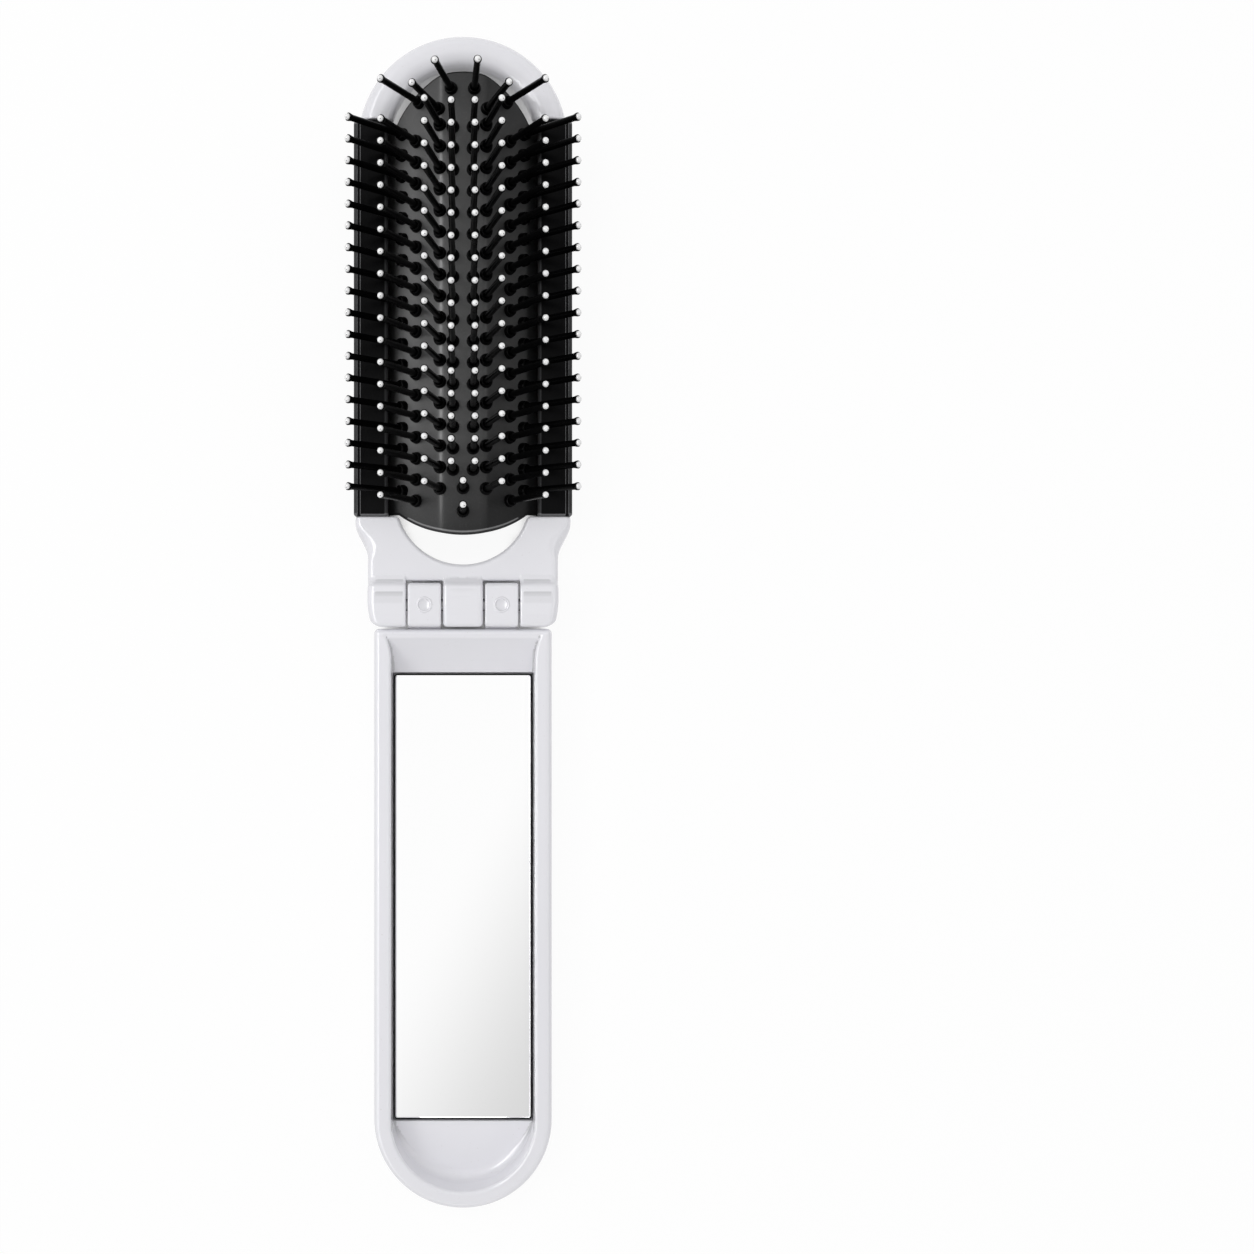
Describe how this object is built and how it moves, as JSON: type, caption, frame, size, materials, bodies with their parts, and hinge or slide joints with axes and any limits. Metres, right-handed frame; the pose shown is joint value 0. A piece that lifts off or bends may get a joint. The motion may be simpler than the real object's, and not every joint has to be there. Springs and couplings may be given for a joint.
{
  "type": "folding hairbrush with mirror",
  "caption": "Folding pocket hairbrush: a snap-through bristle pad in a white frame, hinged to a tray-shaped handle that holds a flat mirror.",
  "frame": {"origin": "middle of the open brush's footprint, on the surface it lies on; the hinge axis is at Y 2.6 mm, Z 9 mm", "axes": "+X across the brush, +Y to the top of the head, +Z the bristle and mirror side"},
  "size_m": [0.0376, 0.1916, 0.0243],
  "materials": {
    "white_plastic": "glossy white moulding with a faint cool tint",
    "sleeve_plastic": "black, satin gloss",
    "pad_plastic": "black flexible sheet, satin gloss",
    "bristle_nylon": "black nylon, semi-gloss",
    "tip_resin": "pale glossy resin beads",
    "pin_steel": "drawn steel rod",
    "mirror_glass": "flat silvered glass",
    "tape_film": "white foam tape"
  },
  "bodies": {
    "head": {"head_frame": "white_plastic", "sleeve_left": "sleeve_plastic", "sleeve_right": "sleeve_plastic", "hinge_pin": "pin_steel"},
    "handle": {"handle_shell": "white_plastic", "mirror_glass": "mirror_glass", "mirror_tape": "tape_film"},
    "pad_middle": {"pad_crown": "pad_plastic", "bristle_row_3": "bristle_nylon", "bristle_row_4": "bristle_nylon", "bristle_row_5": "bristle_nylon", "bristle_row_6": "bristle_nylon", "bristle_tips_3": "tip_resin", "bristle_tips_4": "tip_resin", "bristle_tips_5": "tip_resin", "bristle_tips_6": "tip_resin", "end_bristles": "bristle_nylon", "end_tips": "tip_resin"},
    "pad_left": {"pad_web_left": "pad_plastic", "bristle_row_1": "bristle_nylon", "bristle_row_2": "bristle_nylon", "bristle_tips_1": "tip_resin", "bristle_tips_2": "tip_resin"},
    "pad_right": {"pad_web_right": "pad_plastic", "bristle_row_7": "bristle_nylon", "bristle_row_8": "bristle_nylon", "bristle_tips_7": "tip_resin", "bristle_tips_8": "tip_resin"}
  },
  "joints": [
    {"name": "handle_fold", "type": "hinge", "parent": "head", "child": "handle", "pos_m": [0, 0.0026, 0.009], "axis": [-1, 0, 0], "range_deg": [0, 180]},
    {"name": "pad_snap", "type": "slide", "parent": "head", "child": "pad_middle", "axis": [0, 0, -1], "range_m": [0, 0.0144]},
    {"name": "left_flank_turn", "type": "hinge", "parent": "head", "child": "pad_left", "pos_m": [-0.01525, 0.0026, 0.0045], "axis": [0, 1, 0], "range_deg": [0, 56], "deforming": ["pad_web_left"]},
    {"name": "right_flank_turn", "type": "hinge", "parent": "head", "child": "pad_right", "pos_m": [0.01525, 0.0026, 0.0045], "axis": [0, -1, 0], "range_deg": [0, 56], "deforming": ["pad_web_right"]}
  ],
  "couplings": [
    {"joint": "pad_snap", "follows": "handle_fold", "m_per_rad": 0.00458},
    {"joint": "left_flank_turn", "follows": "handle_fold", "ratio": 0.311},
    {"joint": "right_flank_turn", "follows": "handle_fold", "ratio": 0.311}
  ]
}
